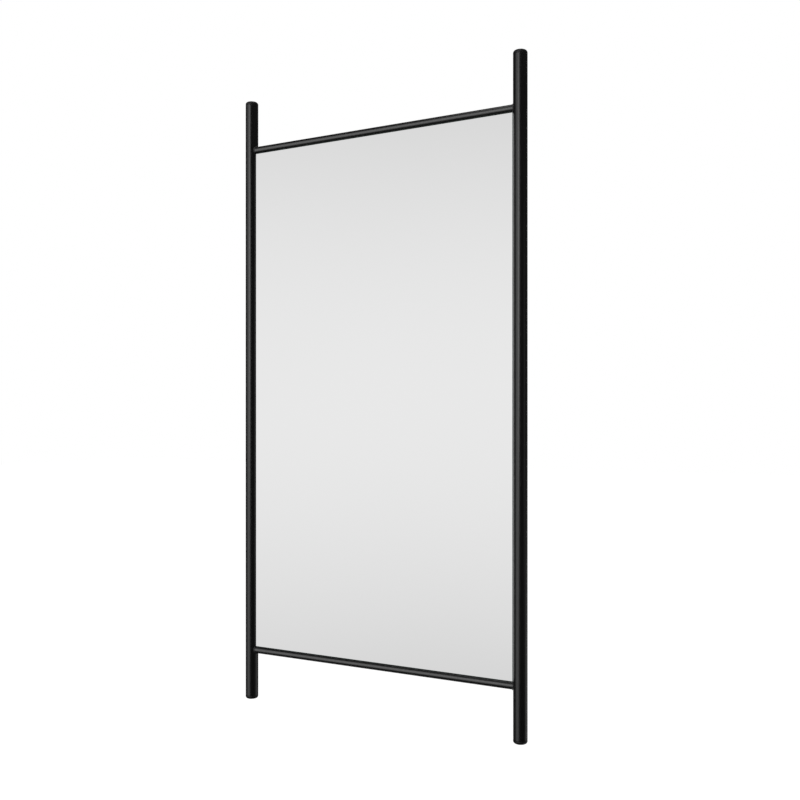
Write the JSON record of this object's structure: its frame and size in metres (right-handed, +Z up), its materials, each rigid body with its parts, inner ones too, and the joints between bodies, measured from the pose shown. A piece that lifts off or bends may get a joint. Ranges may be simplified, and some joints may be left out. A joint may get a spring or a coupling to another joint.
{
  "type": "pull-out closet mirror",
  "caption": "Tall mirror in a black round-tube frame, carried behind on ball-bearing slides that pull it out of a closet and on an upright swivel that turns it outwards.",
  "frame": {"origin": "middle of the mounting plate's back face, which lies against the side panel of the closet", "axes": "+Z up, +X the way the mirror pulls out of the closet, +Y into the closet's side panel; at rest the glass faces -Y"},
  "size_m": [0.525, 0.057, 1.05],
  "materials": {
    "black_coat": "satin black powder coat on steel",
    "black_plastic": "fine-grained black nylon",
    "silvered_glass": "flat silvered float glass with ground edges",
    "board": "fibreboard with a dark paper face",
    "zinc": "bright zinc plate",
    "bearing_steel": "bright drawn steel",
    "magnet": "nickel-plated cup with a dark magnet",
    "screw": "black zinc plate",
    "acetal": "natural acetal",
    "rubber": "dull black rubber"
  },
  "bodies": {
    "panel_mount": {"mounting_plate": "black_coat", "upper_outer_member": "zinc", "lower_outer_member": "zinc", "upper_end_buffer": "rubber", "lower_end_buffer": "rubber", "upper_slide_screw_1": "screw", "upper_slide_screw_2": "screw", "lower_slide_screw_1": "screw", "lower_slide_screw_2": "screw"},
    "carriage": {"pivot_carrier": "black_coat", "rear_tie_bar": "black_coat", "upper_inner_member": "zinc", "lower_inner_member": "zinc", "catch_standoff": "zinc", "catch_magnet": "magnet", "upper_carrier_screw_1": "screw", "upper_carrier_screw_2": "screw", "lower_carrier_screw_1": "screw", "lower_carrier_screw_2": "screw", "upper_tie_bar_screw": "screw", "lower_tie_bar_screw": "screw", "upper_rubber_buffer": "rubber", "lower_rubber_buffer": "rubber", "upper_swivel_bush": "acetal", "lower_swivel_bush": "acetal"},
    "mirror": {"left_post": "black_coat", "right_post": "black_coat", "left_post_upper_cap": "black_plastic", "left_post_lower_cap": "black_plastic", "right_post_upper_cap": "black_plastic", "right_post_lower_cap": "black_plastic", "upper_rail": "black_coat", "lower_rail": "black_coat", "mirror_glass": "silvered_glass", "backing_board": "board", "catch_strike_plate": "zinc", "panel_screw_1": "screw", "panel_screw_2": "screw", "panel_screw_3": "screw", "panel_screw_4": "screw", "panel_screw_5": "screw", "panel_screw_6": "screw", "panel_screw_7": "screw", "panel_screw_8": "screw", "swivel_barrel": "black_coat", "upper_pivot_pin": "zinc", "lower_pivot_pin": "zinc", "upper_post_saddle": "black_coat", "lower_post_saddle": "black_coat", "saddle_screw_1": "screw", "saddle_screw_2": "screw", "saddle_screw_3": "screw", "saddle_screw_4": "screw"},
    "upper_middle": {"upper_middle_member": "zinc"},
    "lower_middle": {"lower_middle_member": "zinc"},
    "upper_outer_cage": {"upper_outer_ball_cage": "bearing_steel"},
    "lower_outer_cage": {"lower_outer_ball_cage": "bearing_steel"},
    "upper_inner_cage": {"upper_inner_ball_cage": "bearing_steel"},
    "lower_inner_cage": {"lower_inner_ball_cage": "bearing_steel"}
  },
  "joints": [
    {"name": "pull_out", "type": "slide", "parent": "panel_mount", "child": "carriage", "axis": [1, 0, 0], "range_m": [0, 0.4]},
    {"name": "mirror_swivel", "type": "hinge", "parent": "carriage", "child": "mirror", "pos_m": [0.2395, -0.0275, 0], "axis": [0, 0, 1], "range_deg": [0, 90]},
    {"name": "upper_middle_slide", "type": "slide", "parent": "panel_mount", "child": "upper_middle", "axis": [1, 0, 0], "range_m": [0, 0.2]},
    {"name": "lower_middle_slide", "type": "slide", "parent": "panel_mount", "child": "lower_middle", "axis": [1, 0, 0], "range_m": [0, 0.2]},
    {"name": "upper_outer_cage_roll", "type": "slide", "parent": "panel_mount", "child": "upper_outer_cage", "axis": [1, 0, 0], "range_m": [0, 0.1]},
    {"name": "lower_outer_cage_roll", "type": "slide", "parent": "panel_mount", "child": "lower_outer_cage", "axis": [1, 0, 0], "range_m": [0, 0.1]},
    {"name": "upper_inner_cage_roll", "type": "slide", "parent": "panel_mount", "child": "upper_inner_cage", "axis": [1, 0, 0], "range_m": [0, 0.3]},
    {"name": "lower_inner_cage_roll", "type": "slide", "parent": "panel_mount", "child": "lower_inner_cage", "axis": [1, 0, 0], "range_m": [0, 0.3]}
  ],
  "couplings": [
    {"joint": "upper_middle_slide", "follows": "pull_out", "ratio": 0.5},
    {"joint": "lower_middle_slide", "follows": "pull_out", "ratio": 0.5},
    {"joint": "upper_outer_cage_roll", "follows": "pull_out", "ratio": 0.25},
    {"joint": "lower_outer_cage_roll", "follows": "pull_out", "ratio": 0.25},
    {"joint": "upper_inner_cage_roll", "follows": "pull_out", "ratio": 0.75},
    {"joint": "lower_inner_cage_roll", "follows": "pull_out", "ratio": 0.75}
  ]
}
